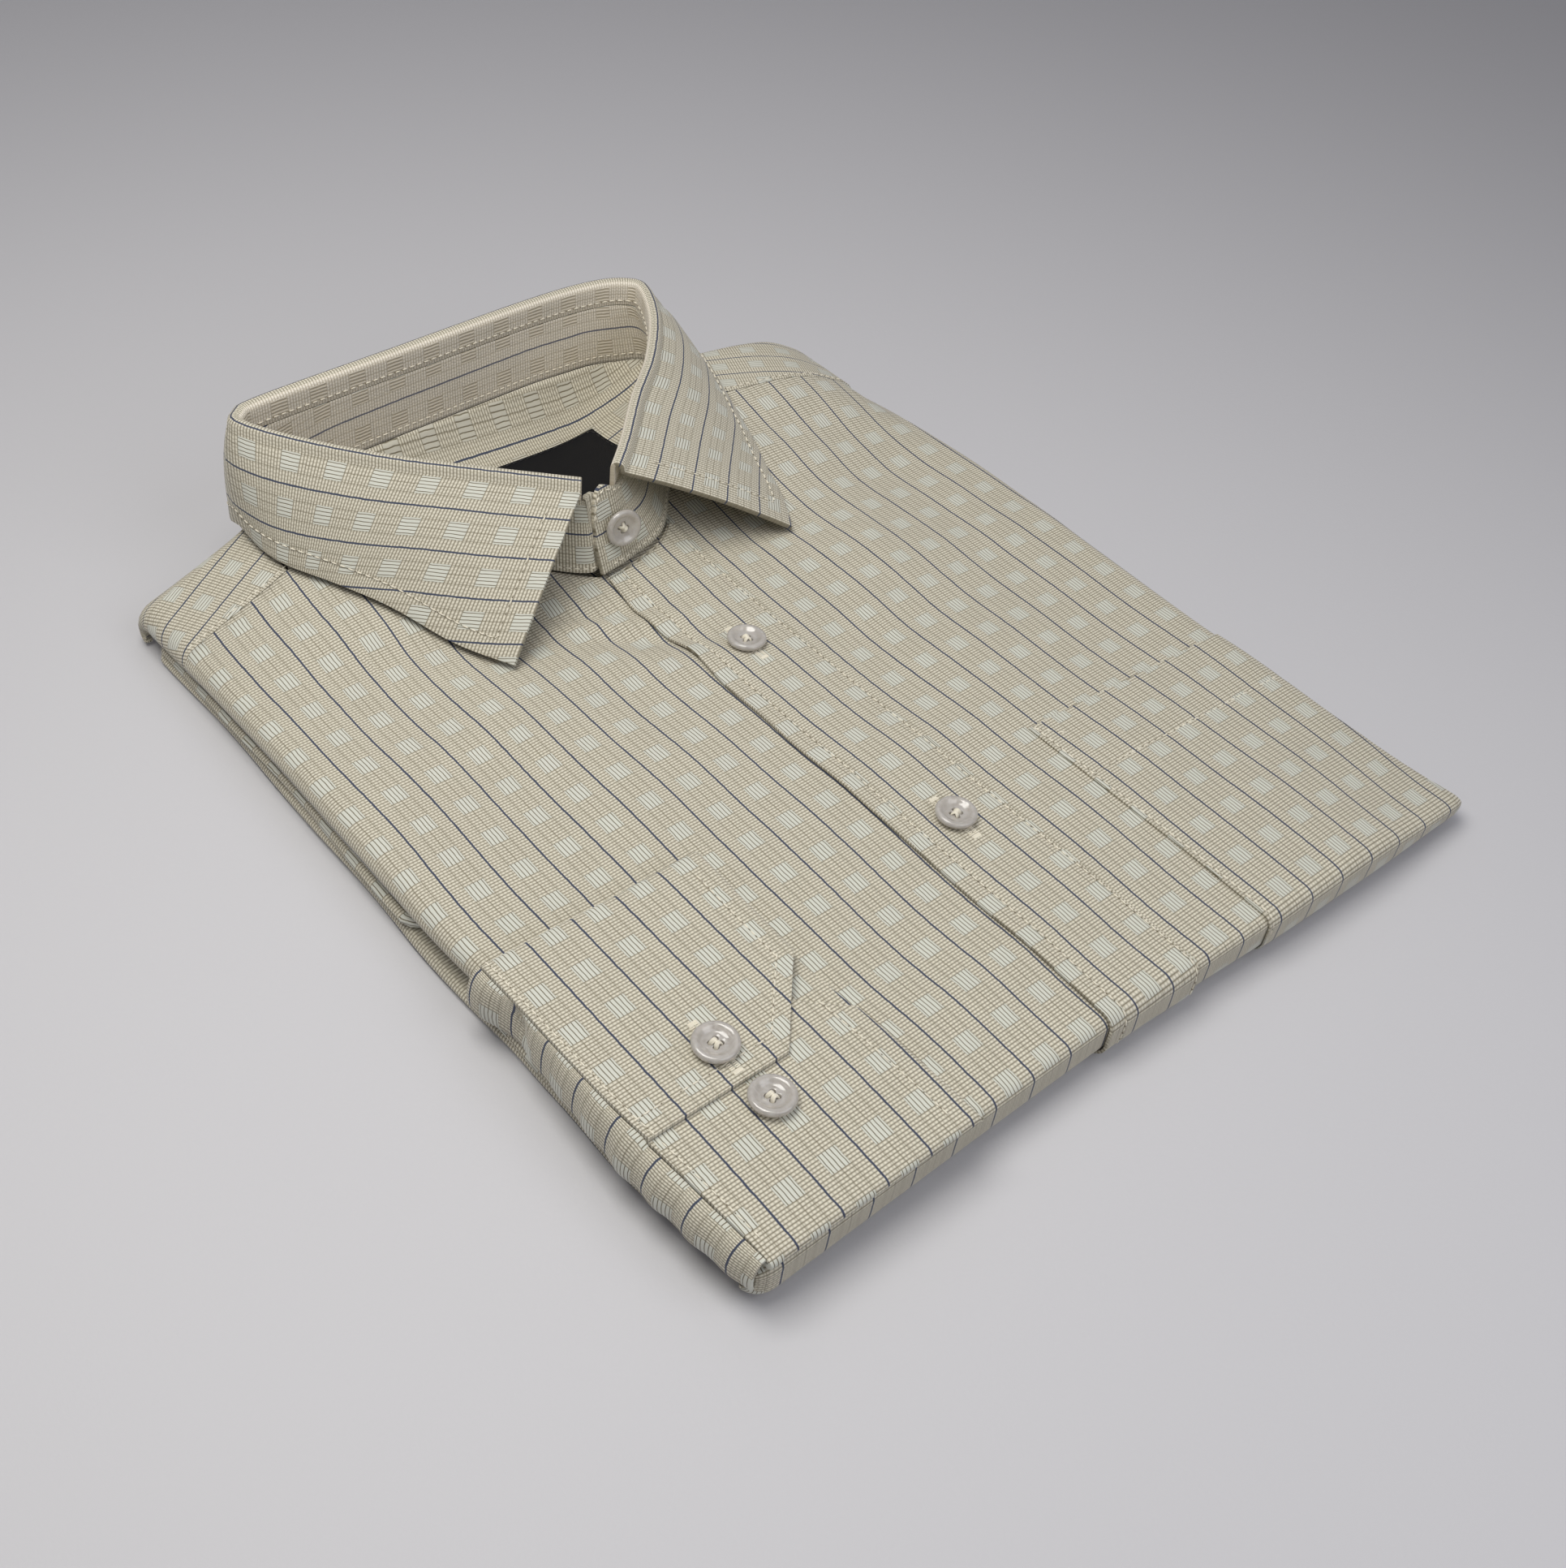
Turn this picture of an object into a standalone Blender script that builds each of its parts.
"""A long-sleeved formal shirt, folded and lying face up, as closed solids. Sizes below are in millimetres."""
import bpy
import numpy as np
from mathutils import Matrix, Vector

# The bundle: X runs across it, Y from the bottom fold to the collar, Z up from the table.
MM = 0.001
FRONT_WALL = 1.2
TRIM_WALL = 1.0
COLLAR_WALL = 1.4
GAP = 0.3
FRONT_HEIGHT = 16.0
SIDE_REACH = 5.0
SIDE_DROP = 4.2
SIDE_RADIUS = 4.6
FOLD_REACH = 9.0
FOLD_RADIUS = 8.2
FOLD_MIDDLE = 6.5
FOLD_LOWER = 7.0
BACK_REACH = 6.0
BACK_MIDDLE = 8.0
BACK_RADIUS = 10.0
WRAP_TURNS = 150.0
PANEL_ROWS = 16
HIDDEN_END = 2.0

# Where the bundle's left and right edges lie at each height of the plan.
EDGES = [
    # y, left, right
    (-20, -124.6, 138.0),
    (0, -124.8, 137.0),
    (20, -126.2, 133.5),
    (42, -127.4, 130.5),
    (60, -126.6, 129.0),
    (85, -126.4, 127.5),
    (108, -127.8, 128.2),
    (127, -128.6, 129.0),
    (190, -128.8, 131.0),
    (217, -129.0, 129.5),
    (251, -129.6, 123.0),
    (276, -130.2, 119.0),
    (320, -130.2, 119.0),
]
BOTTOM = [
    # x, y of the bottom fold
    (-135, 0.8),
    (-60, 1.5),
    (-6, 1.6),
    (30, -0.5),
    (52, -1.8),
    (98, -3.2),
    (140, -3.4),
]
# The hidden layers reach past the front's left edge.
LAYERS_OUT = [
    # y, distance
    (-10, 0.0),
    (30, 0.5),
    (77, 2.4),
    (110, 1.4),
    (140, 1.0),
    (200, 0.4),
    (280, 0.0),
]
CORNER_DROP = 6.0
# The shoulder line: how far back the yoke folds and how high the cloth is puffed there.
SHOULDER = [
    # x, back fold, rise above the front
    (-140, 273.0, -4.0),
    (-128, 275.0, -3.0),
    (-112, 277.0, 2.6),
    (-95, 280.0, 7.4),
    (-80, 286.0, 11.0),
    (-60, 288.0, 13.5),
    (-34, 289.5, 14.0),
    (16, 292.0, 14.5),
    (40, 291.5, 14.5),
    (55, 287.0, 14.0),
    (72, 281.0, 13.4),
    (92, 278.0, 13.4),
    (106, 276.5, 11.4),
    (119, 273.0, 4.6),
    (131, 270.0, -2.0),
]
# Large soft folds on the front: centre, half sizes along and across, turn and height.
SOFT_FOLDS = [
    # x, y, along, across, degrees, height
    (-36, 186, 42, 11, -28, -1.6),
    (-22, 168, 34, 8, -34, 1.3),
    (-70, 168, 48, 13, -72, 1.1),
    (64, 172, 60, 16, 82, 0.9),
    (96, 130, 66, 18, 88, -0.7),
    (28, 118, 52, 14, 86, -0.6),
    (-88, 132, 50, 12, 84, -0.8),
    (92, 226, 30, 12, -24, -1.2),
]
# The collar, one row for each cut across it, from the wearer's right point round to the left point.
COLLAR = [
    # crest x, y, z, leaf edge x, y, its least height, stand foot x, y
    (-19.6, 210.8, 50.4, -59.4, 186.9, 0, -19.6, 209.5),
    (-45.4, 230.5, 52.9, -75.0, 219.4, 0, -46.0, 229.5),
    (-63.4, 245.0, 54.8, -84.4, 236.9, 0, -64.5, 243.5),
    (-81.3, 264.0, 56.6, -93.1, 253.8, 0, -83.0, 262.0),
    (-91.3, 277.6, 58.5, -95.0, 268.0, 25.6, -90.5, 275.0),
    (-89.0, 283.4, 58.9, -93.6, 283.4, 23.0, -87.5, 280.5),
    (-79.5, 286.6, 59.1, -82.6, 293.6, 14.0, -79.5, 282.5),
    (-34.0, 289.4, 59.1, -34.4, 300.4, 12.0, -34.0, 284.5),
    (15.6, 292.4, 59.1, 16.9, 303.0, 12.0, 15.6, 287.0),
    (39.8, 291.9, 59.1, 46.1, 301.8, 12.5, 39.8, 286.5),
    (52.5, 288.4, 58.9, 64.4, 296.0, 16.0, 53.0, 282.5),
    (57.8, 281.0, 58.5, 72.5, 284.5, 32.0, 58.0, 275.5),
    (51.3, 265.5, 56.6, 71.0, 263.8, 0, 53.5, 261.0),
    (36.9, 248.3, 54.8, 66.8, 243.8, 0, 39.5, 243.0),
    (21.9, 235.5, 52.9, 61.3, 223.8, 0, 25.0, 227.0),
    (6.3, 220.1, 51.6, 56.3, 206.9, 0, 11.5, 213.0),
    (-3.5, 211.6, 50.4, 48.8, 192.5, 0, -2.5, 208.4),
]
CREST_ROLL = 2.2
CREST_RETURN = 6.0
LEAF_BULGE = 5.0
LEAF_LIFT = 0.8
STAND_LAP = [(-9.5, 207.0), (-15.5, 206.2)]
STAND_UNDER = [(-13.0, 211.3), (-5.0, 213.0)]
STAND_LEAN = 4.5
STAND_END_RADIUS = 16.0
NECK_FLOOR = 15.8
NECK_SIDES = (-91.2, 58.6)
NECK_STEP = 0.3

PLACKET_LEFT = -14.4
PLACKET_RIGHT = 17.5
FRONTS_MEET = -12.5
POCKET_LEFT = 45.0
POCKET_TOP = (85.6, 82.0)

CUFF_WALL = 1.2
CUFF_FOLDS = (1.6, 100.6)
CUFF_LEFT = [(0, -122.6), (38, -125.6), (50, -126.8), (104, -128.0)]
CUFF_RIGHT = [(0, -60.2), (38, -62.8), (60, -64.6), (104, -63.6)]
CUFF_LAP_END = 38.4
CUFF_UNDER_END = 62.0
CUFF_MITRE = 23.0
CUFF_LEVELS = (1.2, 3.2, 4.7)
# The sleeve beside the cuff: how far out it bulges.
SLEEVE = [
    # y, outermost x
    (2.5, -126.6),
    (15, -128.8),
    (30, -130.2),
    (42, -131.2),
    (56, -130.2),
    (70, -129.4),
    (86, -129.6),
    (94, -131.6),
    (101, -131.0),
]

LABEL_CENTRE = (-9.0, 253.5)
LABEL_SIZE = (72.0, 30.0)
BUTTON_RADIUS = 5.8
BUTTON_DEPTH = 2.4
HOLE_RADIUS = 0.75
HOLE_OFFSET = 1.25


def smooth(t):
    """0 to 1 with no corner at either end."""
    t = np.clip(t, 0.0, 1.0)
    return t * t * (3 - 2 * t)


def column(table, index):
    return np.array([row[index] for row in table], float)


def soft(value, table, index, width=5.0):
    """A table column read at a value, with its corners rounded."""
    value = np.asarray(value, float)
    keys = column(table, 0)
    steps = (-1.0, -0.5, 0.0, 0.5, 1.0)
    return sum(np.interp(value + width * s, keys, column(table, index)) for s in steps) / len(steps)


def bottom_edge(x):
    return soft(x, BOTTOM, 1, 12.0)


def top_height(x, y):
    """Height of the fronts' outer face above the table, before the edges turn down."""
    x = np.asarray(x, float)
    y = np.asarray(y, float)
    rise = soft(x, SHOULDER, 2) * smooth((y - 192.0) / 78.0)
    height = FRONT_HEIGHT - 0.8 * smooth((36.0 - y) / 36.0) + rise
    height = height - CORNER_DROP * smooth((x - 78.0) / 60.0) * smooth((80.0 - y) / 78.0)
    for cx, cy, along, across, degrees, lift in SOFT_FOLDS:
        turn = np.radians(degrees)
        u = (x - cx) * np.cos(turn) + (y - cy) * np.sin(turn)
        v = -(x - cx) * np.sin(turn) + (y - cy) * np.cos(turn)
        height = height + lift * np.exp(-((u / along) ** 2) - (v / across) ** 2)
    return height


def cloth(x, y):
    """A point of the flat cloth laid over the bundle: down round both sides, the bottom fold and the back."""
    x, y = np.broadcast_arrays(np.asarray(x, float), np.asarray(y, float))
    left = soft(y, EDGES, 1)
    right = soft(y, EDGES, 2)
    most = np.radians(WRAP_TURNS)
    over_left = np.clip((left + SIDE_REACH - x) / SIDE_RADIUS, 0, most)
    over_right = np.clip((x - right + SIDE_REACH) / SIDE_RADIUS, 0, most)
    px = np.where(over_left > 0, left + SIDE_REACH * (1 - np.sin(over_left)), x)
    px = np.where(over_right > 0, right - SIDE_REACH * (1 - np.sin(over_right)), px)
    turn = np.maximum(over_left, over_right)
    drop = SIDE_DROP * (1 - np.cos(turn))

    foot = bottom_edge(px) + FOLD_REACH
    head = soft(px, SHOULDER, 1) - BACK_REACH
    height = top_height(px, np.clip(y, foot, head)) - drop
    under = np.clip((foot - y) / FOLD_RADIUS, 0, most)
    behind = np.clip((y - head) / BACK_RADIUS, 0, most)
    py = np.where(under > 0, foot - (FOLD_REACH - 0.8 * drop) * np.sin(under), y)
    py = np.where(behind > 0, head + (BACK_REACH - 0.5 * drop) * np.sin(behind), py)
    middle = np.where(behind > 0, np.minimum(BACK_MIDDLE, 0.55 * height), np.minimum(FOLD_MIDDLE, 0.62 * height))
    lower = np.where(behind > 0, middle - 0.5, FOLD_LOWER)
    bend = np.maximum(under, behind)
    upper = height - middle
    lower = np.minimum(lower, (middle - HIDDEN_END) / np.cos(np.pi - most))
    pz = middle + np.where(np.cos(bend) > 0, upper, lower) * np.cos(bend)
    return np.stack([px, py, pz], axis=-1)


def normals_of(points):
    """Unit normals of a grid of points, to the side that its rows and columns turn left around."""
    du = np.gradient(points, axis=0)
    dv = np.gradient(points, axis=1)
    cross = np.cross(du, dv)
    return cross / np.maximum(np.linalg.norm(cross, axis=-1, keepdims=True), 1e-9)


def raised(points, distance):
    return points + normals_of(points) * distance


def material(name, colour, roughness):
    mat = bpy.data.materials.new(name)
    mat.use_nodes = True
    shader = mat.node_tree.nodes["Principled BSDF"]
    shader.inputs["Base Color"].default_value = (*colour, 1.0)
    shader.inputs["Roughness"].default_value = roughness
    return mat


def add_node(name, mesh, mat):
    obj = bpy.data.objects.new(name, mesh)
    shirt.objects.link(obj)
    mesh.materials.append(mat)
    return obj


def sheet(name, points, wall, mat, keep=None):
    """One piece of cloth: a grid of points on its outer face, given its wall inwards."""
    rows, columns = points.shape[:2]
    faces = []
    for i in range(rows - 1):
        for j in range(columns - 1):
            if keep is None or keep[i, j]:
                a = i * columns + j
                faces.append((a, a + columns, a + columns + 1, a + 1))
    mesh = bpy.data.meshes.new(name)
    mesh.from_pydata((points.reshape(-1, 3) * MM).tolist(), [], faces)
    mesh.validate()
    obj = add_node(name, mesh, mat)
    solid = obj.modifiers.new("Wall", "SOLIDIFY")
    solid.thickness = wall * MM
    solid.offset = -1.0
    return obj


def spline(rows, count):
    """Points evenly spread along a smooth curve through the rows."""
    rows = np.asarray(rows, float)
    padded = np.vstack([2 * rows[0] - rows[1], rows, 2 * rows[-1] - rows[-2]])
    dense = []
    for k in range(len(rows) - 1):
        a, b, c, d = padded[k : k + 4]
        t = np.linspace(0, 1, 12, endpoint=False)[:, None]
        dense.append(0.5 * (2 * b + (c - a) * t + (2 * a - 5 * b + 4 * c - d) * t**2 + (3 * b - a - 3 * c + d) * t**3))
    dense = np.vstack(dense + [rows[-1:]])
    length = np.concatenate([[0], np.cumsum(np.linalg.norm(np.diff(dense[:, :3], axis=0), axis=1))])
    at = np.linspace(0, length[-1], count)
    return np.stack([np.interp(at, length, dense[:, k]) for k in range(dense.shape[1])], axis=1)


def surface_z(x, y):
    """Height of the laid cloth's outer face over a point of the plan."""
    x = np.asarray(x, float)
    y = np.asarray(y, float)
    head = soft(x, SHOULDER, 1) - BACK_REACH
    height = top_height(x, np.minimum(y, head))
    middle = np.minimum(BACK_MIDDLE, 0.55 * height)
    over = np.clip((y - head) / BACK_REACH, 0, 1)
    return middle + (height - middle) * np.sqrt(1 - over**2)


def neckline(x):
    """Where the fronts and the yoke meet, and between them the foot of the collar stand."""
    x = np.asarray(x, float)
    foot = spline([(row[6], row[7]) for row in COLLAR], 80)
    low_half = [tuple(p) for p in foot if p[1] < 274.0 and (p[0] < -19.0 or p[0] > -3.0)]
    seams = [(-140, 243.5), (-129, 245.0), (-100, 250.5), (NECK_SIDES[0] - NECK_STEP, 252.6)]
    seams += [(-15.5, 206.4), (-9.5, 207.2)]
    seams += [(NECK_SIDES[1] + NECK_STEP, 254.0), (74, 252.5), (100, 249.5), (121, 246.0), (140, 243.5)]
    line = np.array(sorted(seams + low_half))
    return np.interp(x, line[:, 0], line[:, 1] + 0.2)


def panel_columns(first, last, pitch):
    """Grid lines across a panel, with close ones where it turns down at an edge."""
    count = max(2, int(round((last - first) / pitch)) + 1)
    return np.linspace(first, last, count)


def fold_rows():
    """Grid lines round the bottom fold, from its hidden end up."""
    return FOLD_REACH - FOLD_RADIUS * np.radians(np.linspace(WRAP_TURNS, 0, 8))


def laid_panel(columns_at, top, rows_flat, raise_by=0.0, short=0.0):
    """Points of a panel that runs from the hidden end of the bottom fold up to its top line."""
    fold = fold_rows()
    share = np.linspace(0, 1, rows_flat + 1)[1:]
    grid = []
    for kind, value in columns_at:
        end = float(top(value))
        ys = np.concatenate([fold, fold[-1] + (end - fold[-1]) * share])
        xs = np.full_like(ys, value)
        if kind != "flat":
            xs = soft(ys, EDGES, 1 if kind == "left" else 2) + value
            ys[len(fold) :] = fold[-1] + (float(top(xs[-1])) - fold[-1]) * share
        ys[-1] -= short
        grid.append(cloth(xs, ys))
    points = np.stack(grid, axis=0)
    return raised(points, raise_by) if raise_by else points


def edge_columns(kind):
    """The columns over a turned side, in flat distances from the edge."""
    angles = np.radians(np.linspace(0, WRAP_TURNS, 6))
    if kind == "left":
        return [("left", SIDE_REACH - SIDE_RADIUS * a) for a in angles[::-1]]
    return [("right", -SIDE_REACH + SIDE_RADIUS * a) for a in angles]


def make_fronts():
    flat = [("flat", x) for x in panel_columns(-114.0, NECK_SIDES[0] - NECK_STEP, 11.0)]
    flat += [("flat", x) for x in panel_columns(NECK_SIDES[0] + 1.4, PLACKET_LEFT, 9.8)]
    flat += [("flat", FRONTS_MEET - GAP)]
    points = laid_panel(edge_columns("left") + flat, neckline, PANEL_ROWS)
    sheet("front_right", points, FRONT_WALL, shirting)
    flat = [("flat", FRONTS_MEET)] + [("flat", x) for x in placket_columns()[1:]]
    flat += [("flat", x) for x in panel_columns(PLACKET_RIGHT + 10.0, NECK_SIDES[1] - 1.4, 10.0)]
    flat += [("flat", x) for x in panel_columns(NECK_SIDES[1] + NECK_STEP, 112.0, 12.0)]
    points = laid_panel(flat + edge_columns("right"), neckline, PANEL_ROWS)
    sheet("front_left", points, FRONT_WALL, shirting)


def placket_columns():
    return panel_columns(PLACKET_LEFT, PLACKET_RIGHT, 8.0)


def make_placket():
    flat = [("flat", x) for x in placket_columns()]
    sheet("placket", laid_panel(flat, neckline, PANEL_ROWS, GAP + TRIM_WALL, 3.2), TRIM_WALL, shirting)


def pocket_top(x):
    share = (np.asarray(x, float) - POCKET_LEFT) / (127.0 - POCKET_LEFT)
    return POCKET_TOP[0] + (POCKET_TOP[1] - POCKET_TOP[0]) * share


def make_pocket():
    flat = [("flat", x) for x in panel_columns(POCKET_LEFT, 112.0, 9.6)]
    sheet("pocket", laid_panel(flat + edge_columns("right")[:4], pocket_top, 8, GAP + TRIM_WALL + 0.2), TRIM_WALL, shirting)


def make_yoke():
    """From the front seams over the shoulders, behind the collar and down to the table."""
    columns_at = edge_columns("left")
    neck = [NECK_SIDES[0] + 0.8, *panel_columns(NECK_SIDES[0] + 3.6, NECK_SIDES[1] - 3.6, 10.0), NECK_SIDES[1] - 0.8]
    columns_at += [("flat", x) for x in panel_columns(-114.0, NECK_SIDES[0] - 0.9, 8.0)]
    columns_at += [("flat", x) for x in neck]
    columns_at += [("flat", x) for x in panel_columns(NECK_SIDES[1] + 0.9, 106.0, 9.0)]
    columns_at += edge_columns("right")
    grid = []
    for kind, value in columns_at:
        x_plan = value if kind == "flat" else soft(262.0, EDGES, 1 if kind == "left" else 2) + value
        head = float(soft(np.clip(x_plan, -130, 119), SHOULDER, 1)) - BACK_REACH
        start = float(neckline(x_plan)) + GAP
        foot = spline([(row[6], row[7]) for row in COLLAR[5:12]], 60)
        if NECK_SIDES[0] < x_plan < NECK_SIDES[1]:
            start = float(np.interp(x_plan, foot[:, 0], foot[:, 1])) + 1.0
            if start > head:
                start = head + BACK_RADIUS * np.arcsin(min(0.98, (start - head) / BACK_REACH))
        flat_rows = np.linspace(start, max(head, start + 1.0), 4)
        over = head + BACK_RADIUS * np.radians(np.linspace(0, WRAP_TURNS, 8)[1:])
        over = np.maximum(over, flat_rows[-1] + 0.8 * np.arange(1, 8))
        ys = np.concatenate([flat_rows, over])
        xs = np.full_like(ys, value)
        if kind != "flat":
            xs = soft(ys, EDGES, 1 if kind == "left" else 2) + value
        grid.append(cloth(xs, ys))
    sheet("yoke", np.stack(grid, axis=0), FRONT_WALL, shirting)


def ring_normals(points):
    """Horizontal unit directions out of the collar ring."""
    along = np.gradient(points[:, :2], axis=0)
    along /= np.linalg.norm(along, axis=1, keepdims=True)
    return np.stack([-along[:, 1], along[:, 0]], axis=1)


def make_collar_leaf():
    rows = spline(COLLAR, 42)
    out = ring_normals(rows)
    grid = []
    for row, normal in zip(rows, out):
        n = np.array([normal[0], normal[1], 0.0])
        up = np.array([0.0, 0.0, 1.0])
        crest = np.array([row[0], row[1], row[2]]) - (n + up) * CREST_ROLL
        rest = float(surface_z(row[3], row[4])) + GAP + COLLAR_WALL + LEAF_LIFT
        edge = np.array([row[3], row[4], max(row[5], rest)])
        line = [crest - n * CREST_ROLL - up * CREST_RETURN, crest - n * CREST_ROLL - up * CREST_RETURN / 2]
        for degrees in (180, 130, 80, 30):
            a = np.radians(degrees)
            line.append(crest + CREST_ROLL * (np.cos(a) * n + np.sin(a) * up))
        start = crest + n * CREST_ROLL - up * 0.6
        fall = edge - start
        middle = start + 0.45 * fall + n * LEAF_BULGE * 0.6 + up * LEAF_BULGE * 0.5
        for t in np.linspace(0, 1, 7):
            line.append((1 - t) ** 2 * start + 2 * t * (1 - t) * middle + t**2 * edge)
        grid.append(np.array(line))
    points = np.stack(grid, axis=0)
    sheet("collar_leaf", points, COLLAR_WALL, shirting)


def make_collar_stand():
    """A band on the neckline, its wearer's left end lapped over the right one and rounded."""
    foot = [(x, y) for x, y in STAND_UNDER[::-1]] + [(r[6], r[7]) for r in COLLAR] + STAND_LAP
    top = [(x, y, 44.0) for x, y in STAND_UNDER[::-1]]
    for row in COLLAR:
        top.append((row[0], row[1], row[2] - CREST_ROLL - CREST_RETURN - GAP))
    top += [(x - 1.5, y + STAND_LEAN, 43.0) for x, y in STAND_LAP]
    table = [(*f, *t) for f, t in zip(foot, top)]
    rows = spline(table, 52)
    out = ring_normals(rows)
    length = np.concatenate([[0], np.cumsum(np.linalg.norm(np.diff(rows[:, :2], axis=0), axis=1))])
    grid = []
    for row, normal, here in zip(rows, out, length):
        n = np.array([normal[0], normal[1], 0.0])
        base = np.array([row[0], row[1], 0.0])
        lap = GAP + TRIM_WALL
        ground = max(float(surface_z(*row[:2])), float(surface_z(*(row[:2] + normal * COLLAR_WALL))))
        base[2] = ground + GAP + 0.6 + lap * smooth((232.0 - row[1]) / 12.0)
        crest = np.array([row[2], row[3], row[4]]) - n * CREST_ROLL * 2
        near_end = min(here, length[-1] - here)
        cut = max(0.0, 1.0 - near_end / STAND_END_RADIUS)
        share = np.sqrt(max(0.0, 1.0 - cut**2)) * 0.75 + 0.25
        line = [base + n * COLLAR_WALL + (crest + n * COLLAR_WALL - base - n * COLLAR_WALL) * t * share
                for t in np.linspace(0, 1, 6)]
        grid.append(np.array(line))
    points = np.stack(grid, axis=0)
    sheet("collar_stand", points[:, ::-1], COLLAR_WALL, shirting)


def make_inner_yoke():
    """The yoke's inside, seen down the neck: a dish from the foot of the stand to a level floor."""
    foot = spline([(r[6], r[7]) for r in COLLAR], 42)
    out = ring_normals(foot)
    rim = foot - out * 1.8
    rim_z = surface_z(foot[:, 0], foot[:, 1]) + FRONT_WALL + GAP + 0.5
    centre = np.array([-12.0, 256.0])
    rings = []
    for share in (1.0, 0.93, 0.82, 0.66, 0.45, 0.2):
        ground = NECK_FLOOR + (rim_z - NECK_FLOOR) * share**3
        flat = centre + (rim - centre) * share
        rings.append(np.column_stack([flat, ground]))
    count = len(foot)
    verts = np.vstack(rings + [np.array([[*centre, NECK_FLOOR]])])
    faces = []
    for ring in range(len(rings) - 1):
        for k in range(count):
            a = ring * count + k
            b = ring * count + (k + 1) % count
            faces.append((a, a + count, b + count, b))
    last = (len(rings) - 1) * count
    for k in range(count):
        faces.append((last + k, len(verts) - 1, last + (k + 1) % count))
    mesh = bpy.data.meshes.new("yoke_inner")
    mesh.from_pydata((verts * MM).tolist(), [], faces)
    obj = add_node("yoke_inner", mesh, shirting)
    solid = obj.modifiers.new("Wall", "SOLIDIFY")
    solid.thickness = FRONT_WALL * MM
    solid.offset = -1.0
    return rim, rim_z, centre


def floor_z(x, y, dish):
    """Height of the inner yoke's face over a point inside the neck."""
    rim, rim_z, centre = dish
    angles = np.arctan2(rim[:, 1] - centre[1], rim[:, 0] - centre[0])
    reach = np.linalg.norm(rim - centre, axis=1)
    here = np.array([x, y]) - centre
    order = np.argsort(angles)
    edge = np.interp(np.arctan2(here[1], here[0]), angles[order], reach[order], period=2 * np.pi)
    top = np.interp(np.arctan2(here[1], here[0]), angles[order], rim_z[order], period=2 * np.pi)
    share = min(1.0, np.linalg.norm(here) / edge)
    return NECK_FLOOR + (top - NECK_FLOOR) * share**3


def make_label(dish):
    xs = LABEL_CENTRE[0] + LABEL_SIZE[0] * np.linspace(-0.5, 0.5, 10)
    ys = LABEL_CENTRE[1] + LABEL_SIZE[1] * np.linspace(-0.5, 0.5, 5)
    grid = [[(x, y, floor_z(x, y, dish) + 0.8 + TRIM_WALL) for y in ys] for x in xs]
    sheet("label", np.array(grid), TRIM_WALL, woven_black)


def cuff_path(x_share):
    """One cut round the cuff: under end, bottom fold, lower ply, upper fold and lapped end."""
    low, middle, high = CUFF_LEVELS
    near, far = CUFF_FOLDS
    mitre = max(0.0, (x_share - (1 - CUFF_MITRE / 63.0))) * 63.0
    lap_end = CUFF_LAP_END + mitre
    under_end = CUFF_UNDER_END - mitre
    path = [(y, middle, 0) for y in np.linspace(under_end, near + 2, 4)]
    small = middle / 2
    for degrees in np.linspace(90, 270, 7)[1:-1]:
        a = np.radians(degrees)
        path.append((near + small + small * 1.3 * np.cos(a), small + small * np.sin(a), 0))
    path += [(y, 0.0, 0) for y in np.linspace(near + 2.4, far - 3.2, 6)]
    large = high / 2
    for degrees in np.linspace(-90, 90, 7)[1:-1]:
        a = np.radians(degrees)
        path.append((far - large + large * np.cos(a), large + large * np.sin(a), 0))
    path += [(y, high, 0) for y in np.linspace(far - 3.0, lap_end, 6)]
    return np.array(path)


def make_cuff():
    grid = []
    for x_share in np.array([0, 0.12, 0.25, 0.38, 0.5, 0.635, 0.73, 0.82, 0.91, 1.0]):
        path = cuff_path(x_share)
        left = soft(path[:, 0], CUFF_LEFT, 1)
        right = soft(path[:, 0], CUFF_RIGHT, 1)
        xs = left + (right - left) * x_share
        ys = path[:, 0] + 0.6 * (1 - x_share)
        base = top_height(np.maximum(xs, -122), ys) + GAP + 0.4
        sag = 1.45 * smooth((14.0 - ys) / 16.0)
        grid.append(np.column_stack([xs, ys, base + path[:, 1] - sag]))
    points = np.stack(grid, axis=0)
    sheet("cuff", points[:, ::-1], CUFF_WALL, shirting)


def make_sleeve():
    """The sleeve's end leaves the cuff and drops over the bundle's edge."""
    ys = np.concatenate([np.linspace(2.5, 38.5, 5), np.linspace(44, 101, 9)])
    grid = []
    for y in ys:
        start = float(soft(y, CUFF_LEFT, 1)) - 0.9
        outer = float(soft(y, SLEEVE, 1, 2.0))
        level = float(top_height(-120.0, y)) + GAP + 0.4
        level += 3.6 if y > 41 else 2.2
        middle = 11.4
        reach = start - outer
        line = []
        for degrees in np.linspace(0, 90, 6):
            a = np.radians(degrees)
            line.append((start - reach * np.sin(a), y, middle + (level - middle) * np.cos(a)))
        line += [(outer + 0.2, y, 9.4), (outer + 0.7, y, 8.0)]
        grid.append(line)
    sheet("sleeve", np.array(grid), TRIM_WALL, shirting)


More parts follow.
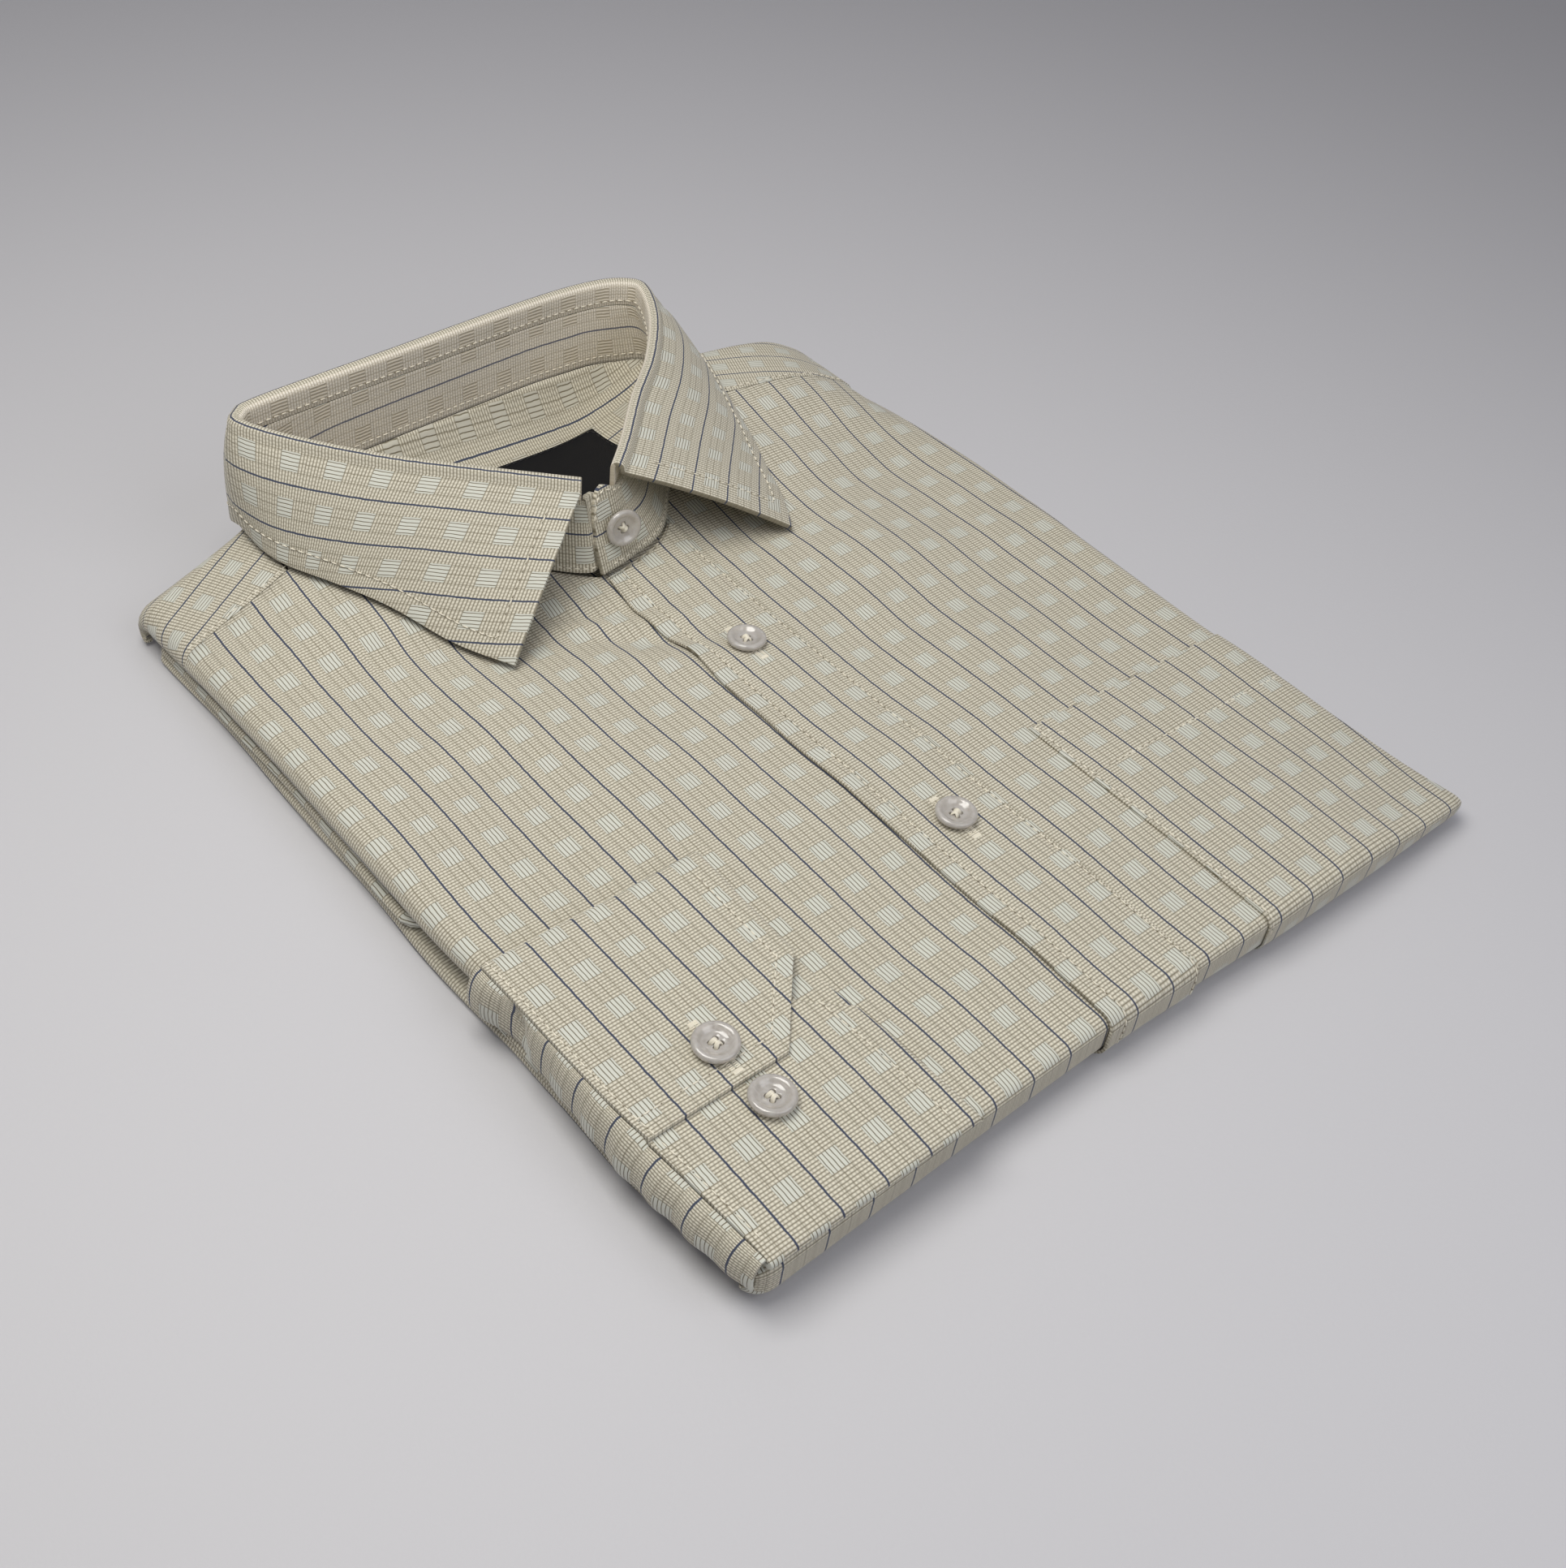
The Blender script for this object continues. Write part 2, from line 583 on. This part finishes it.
def ring_distance(x, y, ring):
    """Distance to the collar's foot, negative inside it."""
    points = np.stack([x, y], axis=-1)[..., None, :]
    a = ring
    b = np.roll(ring, -1, axis=0)
    share = np.clip(((points - a) * (b - a)).sum(-1) / ((b - a) ** 2).sum(-1), 0, 1)
    near = np.linalg.norm(points - (a + share[..., None] * (b - a)), axis=-1).min(-1)
    crosses = (a[:, 1] > y[..., None]) != (b[:, 1] > y[..., None])
    rise = np.where(b[:, 1] == a[:, 1], 1e-9, b[:, 1] - a[:, 1])
    at = a[:, 0] + (y[..., None] - a[:, 1]) * (b[:, 0] - a[:, 0]) / rise
    inside = (crosses & (x[..., None] < at)).sum(-1) % 2 == 1
    return np.where(inside, -near, near)


# The hidden layers' edge at each height: how far the side, the bottom and the back step in.
CORE_SIDES = [
    # z, step in
    (0.0, 2.4),
    (1.6, 0.7),
    (3.0, 1.2),
    (3.7, 2.6),
    (4.6, 0.9),
    (6.0, 0.7),
    (7.0, 1.4),
    (7.6, 5.8),
    (11.0, 6.0),
]
CORE_ENDS = [
    # z, bottom, back
    (0.0, 7.4, 9.0),
    (1.9, 6.3, 6.0),
    (3.2, 6.1, 5.2),
    (3.8, 4.7, 4.1),
    (4.5, 3.5, 3.2),
    (5.7, 2.6, 2.6),
    (7.0, 2.3, 2.4),
    (9.0, 2.7, 2.6),
    (11.0, 3.8, 3.4),
]
CORE_COLUMNS = 22
CORE_ROWS = 25
CORNER_PULL = 4.4


def make_core():
    """Back, tails, folded-in sides and sleeves as one rounded solid with layered edges."""
    ring = spline([(r[6], r[7]) for r in COLLAR], 60)
    u = np.linspace(0, 1, CORE_COLUMNS)[:, None]
    v = np.linspace(0, 1, CORE_ROWS)[None, :]
    u, v = np.broadcast_arrays(u, v)

    def plan(side, bottom, back):
        y_guess = v * 280.0
        left = soft(y_guess, EDGES, 1) + side - soft(y_guess, LAYERS_OUT, 1) * (side < 4)
        right = soft(y_guess, EDGES, 2) - side
        x = left + (right - left) * u
        low = bottom_edge(x) + bottom
        high = soft(x, SHOULDER, 1) - back
        y = low + (high - low) * v
        from_end = np.minimum(y - bottom_edge(x), soft(x, SHOULDER, 1) - y)
        x = x - np.sign(x) * CORNER_PULL * smooth((14.0 - from_end) / 8.0)
        return x, y

    x, y = plan(6.4, 10.5, 10.0)
    top = top_height(x, y) - FRONT_WALL - 1.0
    side = np.minimum(u, 1 - u)
    top = top - 2.2 * (side == 0) - 1.2 * (v == 0) - 1.6 * (v == 1)
    mask = smooth((11.0 - ring_distance(x, y, ring)) / 12.0)
    top = top + (np.minimum(top, NECK_FLOOR - FRONT_WALL - 1.0) - top) * mask
    rim = [(i, 0) for i in range(CORE_COLUMNS)]
    rim += [(CORE_COLUMNS - 1, j) for j in range(1, CORE_ROWS)]
    rim += [(i, CORE_ROWS - 1) for i in range(CORE_COLUMNS - 2, -1, -1)]
    rim += [(0, j) for j in range(CORE_ROWS - 2, 0, -1)]
    verts = []
    ends = np.array(CORE_ENDS)
    for height, sides in CORE_SIDES:
        rx, ry = plan(sides, 4.0, 4.0)
        z = height * np.clip((top_height(rx, ry) - 8.6) / 7.4, 0.08, 1.0)
        rx, ry = plan(sides, np.interp(z, ends[:, 0], ends[:, 1]), np.interp(z, ends[:, 0], ends[:, 2]))
        verts += [(rx[i, j], ry[i, j], z[i, j]) for i, j in rim]
    grid_start = len(verts)
    verts += [(x[i, j], y[i, j], top[i, j]) for i in range(CORE_COLUMNS) for j in range(CORE_ROWS)]
    count = len(rim)
    faces = [tuple(range(count))[::-1]]
    for k in range(len(CORE_SIDES) - 1):
        for n in range(count):
            a = k * count + n
            b = k * count + (n + 1) % count
            faces.append((a, b, b + count, a + count))
    last = (len(CORE_SIDES) - 1) * count
    for n in range(count):
        i, j = rim[n]
        p, q = rim[(n + 1) % count]
        faces.append((last + n, last + (n + 1) % count, grid_start + p * CORE_ROWS + q, grid_start + i * CORE_ROWS + j))
    for i in range(CORE_COLUMNS - 1):
        for j in range(CORE_ROWS - 1):
            a = grid_start + i * CORE_ROWS + j
            faces.append((a, a + CORE_ROWS, a + CORE_ROWS + 1, a + 1))
    mesh = bpy.data.meshes.new("folded_layers")
    mesh.from_pydata((np.array(verts) * MM).tolist(), [], faces)
    add_node("folded_layers", mesh, shirting)


# A button's half section: distance from its axis and height above its back.
BUTTON_PROFILE = [
    # radius, height
    (0.0, 0.0),
    (4.3, 0.0),
    (5.5, 0.7),
    (5.8, 1.5),
    (5.4, 2.2),
    (4.7, 2.4),
    (3.9, 2.0),
    (3.2, 1.4),
    (0.0, 1.2),
]
BUTTON_STEPS = 16


def make_button(name, centre, normal, spin):
    """A turned disc with a raised rim and four holes."""
    mesh = bpy.data.meshes.new(name)
    edges = [(k, k + 1) for k in range(len(BUTTON_PROFILE) - 1)]
    mesh.from_pydata([(r * MM, 0.0, z * MM) for r, z in BUTTON_PROFILE], edges, [])
    obj = add_node(name, mesh, shell)
    lathe = obj.modifiers.new("Lathe", "SCREW")
    lathe.steps = BUTTON_STEPS
    lathe.render_steps = BUTTON_STEPS
    lathe.use_merge_vertices = True
    lathe.merge_threshold = 0.00001
    lathe.use_normal_flip = True
    turn = Vector(normal).to_track_quat("Z", "Y").to_matrix().to_4x4()
    place = Matrix.Translation(Vector(centre) * MM) @ turn @ Matrix.Rotation(np.radians(spin), 4, "Z")
    obj.matrix_world = place
    for k in range(4):
        angle = np.radians(45 + 90 * k)
        spot = Vector((HOLE_OFFSET * np.cos(angle), HOLE_OFFSET * np.sin(angle), BUTTON_DEPTH / 2)) * MM
        bpy.ops.mesh.primitive_cylinder_add(vertices=6, radius=HOLE_RADIUS * MM, depth=8 * MM)
        drill = bpy.context.object
        drill.name = f"{name}_drill_{k}"
        for other in list(drill.users_collection):
            other.objects.unlink(drill)
        cutters.objects.link(drill)
        drill.matrix_world = place @ Matrix.Translation(spot)
        drill.hide_render = True
        drill.display_type = "WIRE"
        cut = obj.modifiers.new(f"Hole {k + 1}", "BOOLEAN")
        cut.operation = "DIFFERENCE"
        cut.solver = "EXACT"
        cut.object = drill


def make_buttons():
    """Two on the placket, one on the stand and two on the cuff."""
    on_placket = GAP + TRIM_WALL + GAP
    for name, y, tilt, spin in (("button_front_upper", 158.8, 0.04, 20), ("button_front_lower", 72.2, -0.03, 65)):
        z = float(top_height(1.9, y)) + on_placket + 0.25
        make_button(name, (1.9, y, z), (0.03, tilt, 1.0), spin)
    make_button("button_collar", (-6.4, 208.55, 31.5), (-0.1, -1.0, 0.16), 35)
    level = float(top_height(-98.0, 49.4)) + GAP + 0.4
    make_button("button_cuff_upper", (-98.75, 49.4, level + CUFF_LEVELS[2] + 0.45), (0.0, -0.03, 1.0), 10)
    make_button("button_cuff_lower", (-97.1, 31.2, level + CUFF_LEVELS[1] + 0.55), (0.02, 0.02, 1.0), 50)


def finish():
    """Round forms shade smooth, sharp rims stay sharp, and the whole stands centred on the origin."""
    bpy.context.view_layer.update()
    graph = bpy.context.evaluated_depsgraph_get()
    corners = []
    for obj in shirt.objects:
        mesh = obj.evaluated_get(graph).to_mesh()
        corners += [obj.matrix_world @ v.co for v in mesh.vertices]
        obj.evaluated_get(graph).to_mesh_clear()
    corners = np.array([tuple(c) for c in corners])
    low = corners.min(axis=0)
    high = corners.max(axis=0)
    shift = Vector((-(low[0] + high[0]) / 2, -(low[1] + high[1]) / 2, -low[2]))
    for obj in list(shirt.objects) + list(cutters.objects):
        obj.matrix_world = Matrix.Translation(shift) @ obj.matrix_world
    for obj in shirt.objects:
        obj.data.polygons.foreach_set("use_smooth", [True] * len(obj.data.polygons))
    print("moved by", [round(value / MM, 3) for value in shift], "mm")


for old in list(bpy.data.objects):
    bpy.data.objects.remove(old, do_unlink=True)
shirt = bpy.data.collections.new("folded_formal_shirt")
cutters = bpy.data.collections.new("cutters")
bpy.context.scene.collection.children.link(shirt)
bpy.context.scene.collection.children.link(cutters)
shirting = material("shirting", (0.62, 0.56, 0.45), 0.85)
woven_black = material("black_label", (0.01, 0.01, 0.012), 0.8)
shell = material("pearly_button", (0.72, 0.69, 0.64), 0.25)

make_core()
make_fronts()
make_placket()
make_pocket()
make_yoke()
neck_dish = make_inner_yoke()
make_label(neck_dish)
make_collar_stand()
make_collar_leaf()
make_cuff()
make_sleeve()
make_buttons()
finish()
